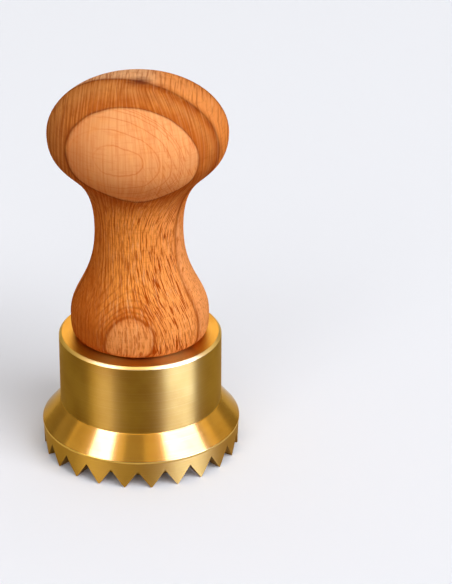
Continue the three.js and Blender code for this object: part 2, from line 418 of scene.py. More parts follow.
def yearLines(tree, colour, ring, patchy, x, z):  # dark at each year's end, and a shade by the foot's oval
    off = calc(tree, "ABSOLUTE", calc(tree, "SUBTRACT", ring, calc(tree, "ROUND", ring)))
    off = product(tree, off, calc(tree, "ADD", fade(tree, ring, "outerLine"), fade(tree, z, "lineWidth")))
    soft = product(tree, fade(tree, x, "softAcross"), fade(tree, z, "softFrom"), fade(tree, z, "softTo"))
    firm = product(tree, fade(tree, z, "lineFirm"), fade(tree, patchy, "linePatches"),
                   fade(tree, soft, "softLine"))
    onKnob = fade(tree, z, "knobLine")
    haloTone = mixColour(tree, onKnob, tone("lowStripe"), tone("stripe"))
    colour = mixColour(tree, product(tree, fade(tree, off, "halo"), firm), colour, haloTone)
    footShade = product(tree, fade(tree, ring, "footShadeStart"), fade(tree, ring, "footShadeEnd"),
                        fade(tree, z, "footShadeHeight"), fade(tree, x, "footShadeAcross"))
    colour = mixColour(tree, footShade, colour, tone("lowStripe"))
    lineTone = mixColour(tree, onKnob, tone("lowLine"), tone("line"))
    return mixColour(tree, product(tree, fade(tree, off, "line"), firm), colour, lineTone)


def thinLines(tree, value, lines):  # 1 on each place, fading to 0 at the width
    total = 0.0
    for spot, width in lines:
        off = calc(tree, "ABSOLUTE", calc(tree, "SUBTRACT", value, spot))
        line = mapRange(tree, off, beechLook["lineCore"] * width, width, 1.0, 0.0)
        total = calc(tree, "MAXIMUM", total, line)
    return total


def fineLines(tree, colour, ring, patchy, x, z):  # arcs in the knob's pale oval, arches over the foot's
    look = beechLook
    tilted = calc(tree, "ADD", ring, product(tree, x, look["arcTilt"]))
    arcs = product(tree, thinLines(tree, tilted, look["arcs"]), fade(tree, ring, "arcRing"),
                   fade(tree, x, "arcAcross"), fade(tree, z, "knobLine"))
    colour = mixColour(tree, arcs, colour, tone("paleStripe"))
    aside = calc(tree, "ABSOLUTE", calc(tree, "SUBTRACT", x, look["archMiddle"]))
    arches = product(tree, thinLines(tree, ring, look["arches"]), fade(tree, z, "archHeight"),
                     fade(tree, aside, "archAside"), fade(tree, patchy, "archPatches"))
    return mixColour(tree, arches, colour, tone("lowLine"))


def rayPlanes(tree, x, y, z, onKnob, aside):  # upright on the left, turning round towards the right
    look = beechLook
    turn = product(tree, fade(tree, x, "rayTurn"), fade(tree, z, "rayTurnOnKnob"))
    reach = calc(tree, "ADD", calc(tree, "MINIMUM", y, look["rayDeepest"]), look["rayCentre"])
    across = calc(tree, "ADD", x, product(tree, turn, reach))
    onSides = product(tree, fade(tree, aside, "sideRays"), fade(tree, z, "sideRayHeight"))
    depth = product(tree, y, calc(tree, "ADD", onSides, fade(tree, onKnob, "knobDepth")))
    knobRise = calc(tree, "MAXIMUM", calc(tree, "SUBTRACT", z, look["knobGrainFrom"]), 0.0)
    along = calc(tree, "SUBTRACT", z, product(tree, knobRise, look["knobGrainStretch"]))
    return across, depth, along


def crownKnot(tree, place, x, y, z):
    look = beechLook
    offX, offY = [calc(tree, "DIVIDE", calc(tree, "SUBTRACT", value, middle), size)
                  for value, middle, size in zip((x, y), look["knotPlace"], look["knotSize"])]
    ripple = product(tree, woodGrain(tree, place, "knotRipple"), look["knotRipple"])
    knot = fade(tree, calc(tree, "ADD", distance(tree, offX, offY), ripple), "knot")
    return product(tree, knot, fade(tree, z, "knotHeight"))


def beechMaterial():
    look = beechLook
    material, tree, shader = newMaterial("oiled_beech")
    place = objectInMm(tree)
    x, y, z = split(tree, place)
    ring = growthLayers(tree, place, x, y, z)
    patchy = woodGrain(tree, place, "patches")
    base = yearTones(tree, ring, x, z)
    base = yearLines(tree, base, ring, patchy, x, z)
    base = fineLines(tree, base, ring, patchy, x, z)
    base = mixColour(tree, fade(tree, patchy, "patches"), base, tone("low"))
    # where the grain changes: the knob, the sides, the knob's pale oval and the small oval at the foot
    onKnob = fade(tree, z, "onKnob")
    aside = calc(tree, "DIVIDE", calc(tree, "ABSOLUTE", x), calc(tree, "MAXIMUM", distance(tree, x, y), 1.0))
    calm = product(tree, fade(tree, ring, "calmRing"), fade(tree, z, "calmHeight"))
    clear = calc(tree, "SUBTRACT", 1.0, product(tree, calm, look["calmShare"]))
    foot = product(tree, fade(tree, ring, "footRing"), fade(tree, z, "footHeight"))
    across, depth, along = rayPlanes(tree, x, y, z, onKnob, aside)
    rays = joined(tree, across, depth, along)
    stripeTone = mixColour(tree, onKnob, tone("lowStripe"), tone("stripe"))
    stripeTone = mixColour(tree, calm, stripeTone, tone("paleStripe"))
    # long stripes
    drift = product(tree, woodGrain(tree, rays, "stripeDrift"), look["stripeDrift"])
    phase = calc(tree, "ADD", calc(tree, "DIVIDE", across, look["stripePitch"]), drift)
    stripe = calc(tree, "SINE", product(tree, phase, fullTurn))
    strength = woodGrain(tree, rays, "stripeStrength")
    share = product(tree, fade(tree, stripe, "stripe"), fade(tree, strength, "stripeStrength"),
                    fade(tree, x, "stripeAcross"), clear, fade(tree, ring, "stripeBehind"),
                    fade(tree, onKnob, "stripeOnKnob"), fade(tree, aside, "stripeAside"),
                    fade(tree, foot, "stripeOnFoot"))
    base = mixColour(tree, share, base, stripeTone)
    between = product(tree, fade(tree, stripe, "stripeGap"), fade(tree, strength, "gapStrength"), onKnob)
    base = mixColour(tree, between, base, tone("fibre"))
    # ray flecks: narrow across, a few mm tall, deep along the radius
    slant = product(tree, calc(tree, "SUBTRACT", z, look["slantFrom"]), fade(tree, x, "slantAcross"),
                    fade(tree, z, "slantTop"))
    slanted = joined(tree, calc(tree, "ADD", across, slant), depth, along)
    fleckShare = product(tree, fade(tree, woodGrain(tree, slanted, "flecks"), "fleck"),
                         fade(tree, z, "fleckHeight"), fade(tree, x, "fleckAcross"), clear,
                         fade(tree, aside, "fleckAside"), fade(tree, foot, "fleckOnFoot"))
    base = mixColour(tree, fleckShare, base, mixColour(tree, calm, tone("fleck"), tone("paleStripe")))
    # leaning dashes on the right of the pale oval
    leaning = joined(tree, calc(tree, "ADD", x, product(tree, z, look["dashLean"])), y, z)
    dashShare = product(tree, fade(tree, woodGrain(tree, leaning, "dashes"), "dash"), calm,
                        fade(tree, x, "dashAcross"))
    base = mixColour(tree, dashShare, base, tone("paleStripe"))
    # fibres, pores and the faint weave across them
    fibreShare = product(tree, fade(tree, woodGrain(tree, rays, "fibres"), "fibre"),
                         fade(tree, x, "fibreAcross"), fade(tree, onKnob, "fibreOnKnob"))
    base = mixColour(tree, fibreShare, base, tone("fibre"))
    poreShare = product(tree, fade(tree, woodGrain(tree, rays, "pores"), "pore"), clear)
    base = mixColour(tree, poreShare, base, stripeTone)
    base = mixColour(tree, fade(tree, woodGrain(tree, place, "weave"), "weave"), base, stripeTone)
    base = mixColour(tree, crownKnot(tree, place, x, y, z), base, tone("knot"))
    tree.links.new(base, shader.inputs["Base Color"])
    tree.links.new(fade(tree, strength, "roughness"), shader.inputs["Roughness"])
    shader.inputs["Specular IOR Level"].default_value = 0.0  # matt oil finish
    relief = calc(tree, "ADD", product(tree, fleckShare, -look["fleckDepth"]),
                  product(tree, poreShare, -look["poreDepth"]))
    bump = addNode(tree, "ShaderNodeBump", {"Height": relief, "Strength": look["bumpStrength"],
                                           "Distance": look["bumpDistance"] * mm})
    tree.links.new(bump.outputs[0], shader.inputs["Normal"])
    return material


# Brass and steel
brassLook = {
    "colour": linear(184, 136, 54),
    "warm": linear(170, 118, 39),
    "pale": linear(202, 158, 80),
    "grazing": (0.92, 0.8, 0.55, 1.0),
}
metalMarks = {
    "faceSlope": 1.37,          # share of the height in the distance along a turned face
    "grooves": {"Detail": 4.0, "Roughness": 0.65},
    "cloud": {"scale": (0.06, 0.06, 0.06), "detail": 4.0, "roughness": 0.6},
    "warmFade": (0.35, 0.7),
    "paleFade": (0.45, 0.85, 0.0, 0.35),
    "speckScale": 0.28,
    "speckFade": (0.02, 0.05, 0.55, 0.0),
    "speckDepth": 0.8,
    "roughCloud": (0.3, 0.7),
    "roughSpread": (0.9, 1.12),
    "roughGrooves": (0.4, 0.8, 0.0, 0.04, "LINEAR"),
    "sheenTurn": 0.25,          # turns the stretched sheen across the grooves
    "bumpDistance": 0.05,       # mm
}


def turnedMetal(name, colour, warm, pale, grazing, roughness, stretch, grooves, grooveDepth):
    marks = metalMarks
    material, tree, shader = newMaterial(name)
    place = objectInMm(tree)
    x, y, z = split(tree, place)
    along = calc(tree, "SUBTRACT", distance(tree, x, y), product(tree, z, marks["faceSlope"]))
    rings = addNode(tree, "ShaderNodeTexNoise", {"W": along, "Scale": grooves, **marks["grooves"]},
                    noise_dimensions="1D").outputs["Fac"]
    cloud = grain(tree, place, **marks["cloud"])
    specks = addNode(tree, "ShaderNodeTexVoronoi", {"Vector": place, "Scale": marks["speckScale"]})
    speckShare = mapRange(tree, specks.outputs["Distance"], *marks["speckFade"])
    tint = mixColour(tree, mapRange(tree, cloud, *marks["warmFade"]), colour, warm)
    tint = mixColour(tree, mapRange(tree, rings, *marks["paleFade"]), tint, pale)
    tint = mixColour(tree, speckShare, tint, warm)
    tree.links.new(tint, shader.inputs["Base Color"])
    shader.inputs["Metallic"].default_value = 1.0
    shader.inputs["Specular Tint"].default_value = grazing
    smooth, coarse = [roughness * share for share in marks["roughSpread"]]
    rough = calc(tree, "ADD", mapRange(tree, cloud, *marks["roughCloud"], smooth, coarse, "LINEAR"),
                 mapRange(tree, rings, *marks["roughGrooves"]))
    tree.links.new(rough, shader.inputs["Roughness"])
    if stretch:
        shader.inputs["Anisotropic"].default_value = stretch
        shader.inputs["Anisotropic Rotation"].default_value = marks["sheenTurn"]
        tangent = addNode(tree, "ShaderNodeTangent", direction_type="RADIAL", axis="Z")
        tree.links.new(tangent.outputs[0], shader.inputs["Tangent"])
    height = calc(tree, "SUBTRACT", rings, product(tree, speckShare, marks["speckDepth"]))
    bump = addNode(tree, "ShaderNodeBump", {"Height": height, "Strength": grooveDepth,
                                           "Distance": marks["bumpDistance"] * mm})
    tree.links.new(bump.outputs[0], shader.inputs["Normal"])
    return material


def brass(name, **finish):
    return turnedMetal(name, **{**brassLook, **finish})


oiledBeech = beechMaterial()
satinBrass = brass("satin_turned_brass", roughness=0.5, stretch=1.0, grooves=3.0, grooveDepth=0.1,
                   colour=linear(172, 126, 35), warm=linear(160, 111, 26))
# partly the faced top's own brass, partly a painted reflection: made redder and deeper to stand in for the
# wood's warm reflection in its shaded front
facedBrass = brass("faced_brass", roughness=0.32, stretch=0.9, grooves=3.0, grooveDepth=0.06,
                   colour=linear(196, 132, 28), warm=linear(184, 116, 20))
polishedBrass = brass("polished_brass", roughness=0.16, stretch=0.4, grooves=2.0, grooveDepth=0.03,
                      colour=linear(190, 137, 46), warm=linear(178, 122, 34))
edgeBrass = brass("bright_edge_brass", roughness=0.3, stretch=0.0, grooves=2.0, grooveDepth=0.03,
                  colour=linear(216, 172, 76), warm=linear(204, 158, 62))
toothBrass = brass("tooth_brass", roughness=0.5, stretch=0.85, grooves=5.0, grooveDepth=0.08,
                   colour=linear(176, 128, 34), warm=linear(164, 114, 28))
milledBrass = brass("milled_brass", roughness=0.3, stretch=0.0, grooves=5.0, grooveDepth=0.08,
                    colour=linear(156, 108, 44), warm=linear(140, 92, 34))
dishBrass = brass("dished_brass", roughness=0.3, stretch=0.7, grooves=4.0, grooveDepth=0.1)
brightSteel = turnedMetal("bright_steel", colour=linear(186, 188, 190), warm=linear(160, 160, 160),
                          pale=linear(205, 206, 208), grazing=(1.0, 1.0, 1.0, 1.0),
                          roughness=0.3, stretch=0.0, grooves=4.0, grooveDepth=0.08)
print("materials made")

# Brass head: all sizes in mm
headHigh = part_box("cutter_body")[1]
headShape = {
    "flangeRadius": headHigh.x / mm,
    "height": headHigh.z / mm,
    "flareWidth": 4.6,
    "flareHeight": 5.5,
    "flangeLand": 0.45,
    "bandHeight": 7.0,
    "bandTaper": 0.35,
    "relief": 0.14,
    "topChamfer": 0.7,
    "studHole": 7.1,
    "chamberRadius": 12.2,
    "chamberTop": 22.0,
    "ceiling": 10.2,
    "ringWidth": 4.35,
    "toothCount": 23,
    "toothHeight": 4.7,
    "crestLand": 0.3,
    "stepsPerTooth": 14,
    "facingLimit": 0.1,     # how far a normal may tilt on an upright or a level face
    "edgeRound": {"width": 0.09, "angle": 28, "segments": 2},
}
headFinishes = [satinBrass, polishedBrass, toothBrass, facedBrass, milledBrass, edgeBrass]


def headProfile(shape):
    flange, band, relief = shape["flangeRadius"], shape["bandHeight"], shape["relief"]
    tip = flange - shape["bandTaper"]
    bore = tip - shape["ringWidth"]
    cylinder = flange - shape["flareWidth"]
    waist = cylinder - relief / 2
    landTop = band + shape["flangeLand"]
    crease = landTop + shape["flareHeight"]
    top, chamfer, hole = shape["height"], shape["topChamfer"], shape["studHole"]
    chamber, chamberTop, ceiling = shape["chamberRadius"], shape["chamberTop"], shape["ceiling"]
    return [(tip, 0), (flange - relief, band - 2 * relief), (flange - relief, band - relief),
            (flange, band), (flange, landTop), (cylinder + relief, crease - relief), (waist, crease),
            (waist, crease + relief), (cylinder, crease + 2 * relief), (cylinder, top - chamfer),
            (cylinder - chamfer, top), (hole, top), (hole, chamberTop), (chamber, chamberTop),
            (chamber, ceiling), (bore, ceiling), (bore, 0)]


def headFinish(face, shape):
    height = face.calc_center_median().z / mm
    rise = abs(face.normal.z)
    upright, level = rise < shape["facingLimit"], rise > 1 - shape["facingLimit"]
    landTop = shape["bandHeight"] + shape["flangeLand"]
    if height < shape["bandHeight"]:
        return toothBrass
    if upright and height < landTop:
        return edgeBrass
    if height > shape["height"] - shape["topChamfer"]:
        return facedBrass if level else edgeBrass
    return satinBrass if upright and height > landTop + shape["flareHeight"] else polishedBrass


def cutTooth(bm, shape, side):  # trims one flank of the tooth that stands in the middle of the sector
    halfStep = math.pi / shape["toothCount"]
    tip = (shape["flangeRadius"] - shape["bandTaper"]) * mm
    halfWidth = tip * math.sin(halfStep) - shape["crestLand"] / 2 * mm
    valleyTop = Vector((0, 0, shape["toothHeight"] * mm))
    valley = Vector((math.cos(side * halfStep), math.sin(side * halfStep), 0))
    across = Vector((valley.y, -valley.x, 0)) * side  # from the valley in towards the tooth
    normal = valley.cross(across * halfWidth - valleyTop).normalized()
    if normal.z > 0:
        normal = -normal
    flank = cutEdges(bmesh.ops.bisect_plane(bm, geom=everything(bm), dist=cutTolerance, plane_co=valleyTop,
                                            plane_no=normal, clear_outer=True))
    ends = [vert for part in flank for vert in part.verts
            if sum(vert in other.verts for other in flank) == 1]
    flank.append(bm.edges.new(ends[:2]))
    made = bmesh.ops.contextual_create(bm, geom=flank)
    for face in made["faces"]:
        face.material_index = headFinishes.index(milledBrass)


def cutterHead():
    shape = headShape
    sector = fullTurn / shape["toothCount"]
    bm = bmesh.new()
    geom = profileChain(bm, headProfile(shape), closed=True)
    bmesh.ops.rotate(bm, verts=bm.verts[:], cent=(0, 0, 0), matrix=Matrix.Rotation(-sector / 2, 3, "Z"))
    turnOnLathe(bm, geom, shape["stepsPerTooth"], sector)
    bmesh.ops.recalc_face_normals(bm, faces=bm.faces[:])
    for face in bm.faces:
        face.material_index = headFinishes.index(headFinish(face, shape))
    for side in (-1, 1):
        cutTooth(bm, shape, side)
    bmesh.ops.rotate(bm, verts=bm.verts[:], cent=(0, 0, 0), matrix=Matrix.Rotation(math.pi / 2, 3, "Z"))
    bmesh.ops.spin(bm, geom=everything(bm), cent=(0, 0, 0), axis=(0, 0, 1), dvec=(0, 0, 0),
                   angle=fullTurn - sector, steps=shape["toothCount"] - 1,
                   use_merge=False, use_duplicate=True)
    cleanSkin(bm)
    return finishPiece(bm, "cutter_head", "head", "cutter_body", headFinishes,
                       shape["edgeRound"])


# Beech handle
handleLow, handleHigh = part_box("handle")
handleShape = {
    "base": handleLow.z / mm,
    "baseRadius": 12.9,
    "bulgeRadius": 17.25,
    "neckRadius": 10.9,
    "knobRadius": handleHigh.x / mm,
    "bulgeHeight": 5.6,
    "neckRise": 23.0,
    "knobRise": 25.0,
    "crownHeight": 13.65,
    "bulgePull": 0.8,       # shares of each rise over which a curve stays upright
    "shoulderPull": 0.3,
    "neckPull": 0.59,
    "throatPull": 0.7,
    "knobPull": 0.44,
    "crownPull": 0.5523,    # that of a quarter ellipse
    "insertHole": 9.45,
    "insertTop": 41.0,
    "cavityRadius": 7.05,
    "cavityTop": 53.7,
    "curveSteps": 22,
    "steps": 144,
}


def handleOutline(shape):
    base, crown, crownPull = shape["base"], shape["crownHeight"], shape["crownPull"]
    bulge = base + shape["bulgeHeight"]
    neck = bulge + shape["neckRise"]
    knob = neck + shape["knobRise"]
    top = knob + crown
    bulgeR, neckR, knobR = shape["bulgeRadius"], shape["neckRadius"], shape["knobRadius"]
    curves = [
        ((shape["baseRadius"], base), (bulgeR, base),
         (bulgeR, bulge - shape["bulgePull"] * shape["bulgeHeight"]), (bulgeR, bulge)),
        ((bulgeR, bulge), (bulgeR, bulge + shape["shoulderPull"] * shape["neckRise"]),
         (neckR, neck - shape["neckPull"] * shape["neckRise"]), (neckR, neck)),
        ((neckR, neck), (neckR, neck + shape["throatPull"] * shape["knobRise"]),
         (knobR, knob - shape["knobPull"] * shape["knobRise"]), (knobR, knob)),
        ((knobR, knob), (knobR, knob + crownPull * crown), (crownPull * knobR, top), (0, top)),
    ]
    outline = []
    for curve in curves:
        points = interpolate_bezier(*[Vector((r, z, 0)) for r, z in curve], shape["curveSteps"])
        outline += [(point.x, point.y) for point in points[:-1]]
    return outline + [(0, top)]


def beechHandle():
    shape = handleShape
    inside = [(0, shape["cavityTop"]), (shape["cavityRadius"], shape["cavityTop"]),
              (shape["cavityRadius"], shape["insertTop"]), (shape["insertHole"], shape["insertTop"]),
              (shape["insertHole"], shape["base"])]
    bm = bmesh.new()
    turnOnLathe(bm, profileChain(bm, inside + handleOutline(shape)), shape["steps"])
    cleanSkin(bm)
    return finishPiece(bm, "beech_handle", "head", "handle", [oiledBeech])


# Ejector plate
plateLow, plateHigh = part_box("ejector_plate")
plateShape = {
    "rimHeight": plateLow.z / mm,
    "bossTop": plateHigh.z / mm,
    "plateRadius": 19.9,
    "sideTaper": 0.5,
    "sideHeight": 4.6,
    "rimLand": 0.5,
    "dishDepth": 4.5,
    "dimpleRadius": 0.7,
    "dimpleDepth": 0.5,
    "hubRadius": 11.5,
    "hubTop": 8.6,
    "bossRadius": 7.0,
    "socketRadius": 3.1,
    "socketFloor": 7.5,
    "dishSteps": 26,
    "steps": 184,
    "edgeRound": {"width": 0.12, "angle": 28, "segments": 3},
}


def ejectorPlate():
    shape = plateShape
    rim = shape["rimHeight"]
    rimRadius = shape["plateRadius"] - shape["sideTaper"]
    edge = rimRadius - shape["rimLand"]
    ball = (edge ** 2 + shape["dishDepth"] ** 2) / (2 * shape["dishDepth"])
    dish = []
    for step in range(shape["dishSteps"] + 1):
        radius = shape["dimpleRadius"] + (edge - shape["dimpleRadius"]) * step / shape["dishSteps"]
        dish.append((radius, rim + shape["dishDepth"] - ball + math.sqrt(ball ** 2 - radius ** 2)))
    shoulder = rim + shape["sideHeight"]
    profile = [(0, rim + shape["dishDepth"] + shape["dimpleDepth"])] + dish + [
        (rimRadius, rim), (shape["plateRadius"], shoulder), (shape["hubRadius"], shoulder),
        (shape["hubRadius"], shape["hubTop"]), (shape["bossRadius"], shape["hubTop"]),
        (shape["bossRadius"], shape["bossTop"]), (shape["socketRadius"], shape["bossTop"]),
        (shape["socketRadius"], shape["socketFloor"]), (0, shape["socketFloor"])]
    bm = bmesh.new()
    turnOnLathe(bm, profileChain(bm, profile), shape["steps"])
    cleanSkin(bm)
    return finishPiece(bm, "ejector_dish", "ejector", "ejector_plate", [dishBrass],
                       shape["edgeRound"])


# Return spring
springLow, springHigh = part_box("return_spring")
springShape = {
    "meanRadius": 8.8,
    "wireRadius": 0.65,
    "turns": 4.5,
    "low": springLow.z / mm,
    "high": springHigh.z / mm,
    "travel": 4.8,
    "wireSides": 16,
    "stepsPerTurn": 48,
}


def returnSpring():
    shape = springShape
    length = shape["high"] - shape["low"]
    start = Vector((shape["meanRadius"], 0, shape["low"] + shape["wireRadius"])) * mm
    bm = bmesh.new()
    made = bmesh.ops.create_circle(bm, segments=shape["wireSides"], radius=shape["wireRadius"] * mm,
                                   matrix=Matrix.Translation(start) @ Matrix.Rotation(math.pi / 2, 4, "X"))
    wire = {edge for vert in made["verts"] for edge in vert.link_edges}
    turnOnLathe(bm, made["verts"] + list(wire), round(shape["turns"] * shape["stepsPerTurn"]),
                fullTurn * shape["turns"], rise=length - 2 * shape["wireRadius"])
    bmesh.ops.holes_fill(bm, edges=bm.edges[:], sides=shape["wireSides"])
    bmesh.ops.recalc_face_normals(bm, faces=bm.faces[:])
    spring = finishPiece(bm, "return_coil", "head", "return_spring", [brightSteel])
    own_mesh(spring)


# Screwed pieces inside, each from a turned body and its threads
threadForm = {
    "land": 0.12,           # share of the pitch that is flat at a crest and at a root
    "lead": 1.4,            # turns drawn below the start and then trimmed
    "weld": 0.002,          # mm
    "rimGap": 0.1,          # mm from a thread's root to the turned rim beside it
    "levelTolerance": 0.0001,  # mm
}


def threadSkin(bm, thread, low, high):  # V thread between two heights, open at both ends
    kept = set(everything(bm))
    pitch, crest, root = thread["pitch"], thread["crest"], thread["root"]
    land = threadForm["land"] * pitch
    lead = threadForm["lead"] * pitch
    chain = []
    for turn in range(math.ceil((high - low + lead) / pitch) + 1):
        start = low - lead + turn * pitch
        half = start + pitch / 2
        chain += [(root, start), (root, start + land), (crest, half), (crest, half + land)]
    turnOnLathe(bm, profileChain(bm, chain), thread["steps"], rise=pitch)
    fresh = [vert for vert in bm.verts if vert not in kept]
    bmesh.ops.remove_doubles(bm, verts=fresh, dist=threadForm["weld"] * mm)
    for height, side in ((low, -1), (high, 1)):
        fresh = [part for part in everything(bm) if part not in kept]
        bmesh.ops.bisect_plane(bm, geom=fresh, dist=cutTolerance, plane_co=(0, 0, height * mm),
                               plane_no=(0, 0, side), clear_outer=True)


def sealLevel(bm, *heights):  # closes the open rims at each height, as a disc or a ring
    tolerance = threadForm["levelTolerance"] * mm
    for height in heights:
        rim = [edge for edge in bm.edges if edge.is_boundary
               and all(abs(vert.co.z - height * mm) < tolerance for vert in edge.verts)]
        bmesh.ops.triangle_fill(bm, use_beauty=True, edges=rim, normal=(0, 0, 1))


studLow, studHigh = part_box("guide_stud")
studShape = {
    "bore": 3.08,
    "low": studLow.z / mm,
    "high": studHigh.z / mm,
    "endRadius": 5.9,
    "chamfer": 0.3,
    "thread": {"root": 6.4, "crest": studHigh.x / mm, "pitch": 1.5, "steps": 72},
}


def guideStud():
    shape, thread = studShape, studShape["thread"]
    bore, end, chamfer = shape["bore"], shape["endRadius"], shape["chamfer"]
    low, high = shape["low"], shape["high"]
    neck = thread["root"] - threadForm["rimGap"]
    bm = bmesh.new()
    threadSkin(bm, thread, low + chamfer, high - chamfer)
    body = [(neck, low + chamfer), (end, low), (bore + chamfer, low), (bore, low + chamfer),
            (bore, high - chamfer), (bore + chamfer, high), (end, high), (neck, high - chamfer)]
    turnOnLathe(bm, profileChain(bm, body), thread["steps"])
    sealLevel(bm, low + chamfer, high - chamfer)
    cleanSkin(bm)
    return finishPiece(bm, "threaded_stud", "head", "guide_stud", [brightSteel])


insertLow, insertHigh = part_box("handle_insert")
insertShape = {
    "low": insertLow.z / mm,
    "high": insertHigh.z / mm,
    "endInner": 7.9,
    "endOuter": 8.1,
    "chamfer": 0.4,
    "woodLead": 0.6,        # the wood thread starts a little deeper than the chamfer
    "woodThread": {"root": 8.4, "crest": insertHigh.x / mm, "pitch": 2.4, "steps": 72},
    "boreThread": {"root": 7.5, "crest": 7.1, "pitch": 1.5, "steps": 72},
}


def woodInsert():
    shape, wood, bore = insertShape, insertShape["woodThread"], insertShape["boreThread"]
    chamfer, lead, low, high = shape["chamfer"], shape["woodLead"], shape["low"], shape["high"]
    outer = wood["root"] - threadForm["rimGap"]
    inner = bore["root"] + threadForm["rimGap"]
    bm = bmesh.new()
    threadSkin(bm, wood, low + lead, high - lead)
    threadSkin(bm, bore, low + chamfer, high - chamfer)
    for end, way in ((low, 1), (high, -1)):
        rim = [(inner, end + way * chamfer), (shape["endInner"], end), (shape["endOuter"], end),
               (outer, end + way * lead)]
        turnOnLathe(bm, profileChain(bm, rim), wood["steps"])
    sealLevel(bm, low + lead, high - lead, low + chamfer, high - chamfer)
    cleanSkin(bm)
    return finishPiece(bm, "wood_insert", "head", "handle_insert", [polishedBrass])


stemLow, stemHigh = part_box("ejector_stem")
stemShape = {
    "radius": stemHigh.x / mm,
    "low": stemLow.z / mm,
    "high": stemHigh.z / mm,
    "tipRadius": 2.4,
    "tipLength": 0.6,
    "chamfer": 0.35,
    "lowerThread": 6.2,     # length screwed into the plate
    "upperThread": 5.4,     # length that takes the nut
    "thread": {"root": 2.5, "crest": 2.9, "pitch": 1.0, "steps": 60},
}


def ejectorStem():
    shape, thread = stemShape, stemShape["thread"]
    low, high, radius = shape["low"], shape["high"], shape["radius"]
    tip, tipLength, chamfer = shape["tipRadius"], shape["tipLength"], shape["chamfer"]
    lowJoin, highJoin = low + shape["lowerThread"], high - shape["upperThread"]
    bm = bmesh.new()
    threadSkin(bm, thread, low + tipLength, lowJoin)
    threadSkin(bm, thread, highJoin, high - tipLength)
    turnOnLathe(bm, profileChain(bm, [(radius, lowJoin), (radius, highJoin)]), thread["steps"])
    for end, way in ((low, 1), (high, -1)):
        point = [(tip, end + way * tipLength), (tip, end + way * chamfer), (tip - chamfer, end)]
        turnOnLathe(bm, profileChain(bm, point), thread["steps"])
        sealLevel(bm, end, end + way * tipLength)
    sealLevel(bm, lowJoin, highJoin)
    cleanSkin(bm)
    return finishPiece(bm, "plunger_stem", "ejector", "ejector_stem", [brightSteel])


nutLow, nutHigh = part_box("stop_nut")
nutShape = {
    "sides": 6,
    "flat": min(nutHigh.x, nutHigh.y) / mm,
    "corner": max(nutHigh.x, nutHigh.y) / mm,
    "firstFlat": 0.5 if nutHigh.x > nutHigh.y else 0,  # in sides, so that the corners lie as on the solid
    "low": nutLow.z / mm,
    "high": nutHigh.z / mm,
    "faceRadius": 4.75,
    "crown": 0.6,
    "chamfer": 0.3,
    "steps": 96,
    "thread": {"root": 3.45, "crest": 3.1, "pitch": 1.0, "steps": 60},
}


def stopNut():
    shape, thread = nutShape, nutShape["thread"]
    chamfer, crown, low, high = shape["chamfer"], shape["crown"], shape["low"], shape["high"]
    face, corner = shape["faceRadius"], shape["corner"]
    mouth = thread["root"] + threadForm["rimGap"]
    bm = bmesh.new()
    body = [(mouth, low + chamfer), (mouth + chamfer, low), (face, low), (corner, low + crown),
            (corner, high - crown), (face, high), (mouth + chamfer, high), (mouth, high - chamfer)]
    turnOnLathe(bm, profileChain(bm, body), shape["steps"])
    for side in range(shape["sides"]):
        angle = (side + shape["firstFlat"]) * fullTurn / shape["sides"]
        normal = Vector((math.cos(angle), math.sin(angle), 0))
        cut = bmesh.ops.bisect_plane(bm, geom=everything(bm), dist=cutTolerance, clear_outer=True,
                                     plane_co=normal * shape["flat"] * mm, plane_no=normal)
        bmesh.ops.holes_fill(bm, edges=cutEdges(cut))
    threadSkin(bm, thread, low + chamfer, high - chamfer)
    sealLevel(bm, low + chamfer, high - chamfer)
    cleanSkin(bm)
    return finishPiece(bm, "hex_nut", "ejector", "stop_nut", [brightSteel])


washerLow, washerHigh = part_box("stop_washer")
washerShape = {
    "bore": 3.1,
    "radius": washerHigh.x / mm,
    "low": washerLow.z / mm,
    "high": washerHigh.z / mm,
    "steps": 96,
    "edgeRound": {"width": 0.22, "angle": 28, "segments": 3},
}


def stopWasher():
    shape = washerShape
    section = [(shape["bore"], shape["low"]), (shape["radius"], shape["low"]),
               (shape["radius"], shape["high"]), (shape["bore"], shape["high"])]
    bm = bmesh.new()
    turnOnLathe(bm, profileChain(bm, section, closed=True), shape["steps"])
    cleanSkin(bm)
    return finishPiece(bm, "flat_washer", "ejector", "stop_washer", [brightSteel],
                       shape["edgeRound"])


cutterHead()
beechHandle()
ejectorPlate()
returnSpring()
guideStud()
woodInsert()
ejectorStem()
stopNut()
stopWasher()
print("object dressed")

# Camera at the photograph's angle
viewSettings = {
    "imageSize": (452, 584),
    "focalPixels": 2370.5,
    "sensorWidth": 36,
    "clipStart": 0.01,
    "elevation": math.radians(26.41),
    "roll": math.radians(-0.33),
    "distance": 0.6,
    "aim": Vector((0, 0, 0.02)),       # this point of the axis is seen at the pixel below
    "aimPixel": (140.7, 369.6),
}


def addCamera():
    view = viewSettings
    width, height = view["imageSize"]
    forward = Vector((0, math.cos(view["elevation"]), -math.sin(view["elevation"])))
    level = Vector((1, 0, 0))
    down = forward.cross(level)
    right = level * math.cos(view["roll"]) + down * math.sin(view["roll"])
    down = down * math.cos(view["roll"]) - level * math.sin(view["roll"])
    offX = (view["aimPixel"][0] - width / 2) / view["focalPixels"]
    offY = (view["aimPixel"][1] - height / 2) / view["focalPixels"]
    toAim = (right * offX + down * offY + forward).normalized()
    data = bpy.data.cameras.new("camera")
    data.sensor_width = view["sensorWidth"]
    data.lens = view["focalPixels"] * view["sensorWidth"] / max(width, height)
    data.clip_start = view["clipStart"]
    camera = bpy.data.objects.new("camera", data)
    turn = Matrix((right, -down, -forward)).transposed().to_4x4()
    camera.matrix_world = Matrix.Translation(view["aim"] - toAim * view["distance"]) @ turn
    bpy.context.scene.collection.objects.link(camera)
    bpy.context.scene.camera = camera


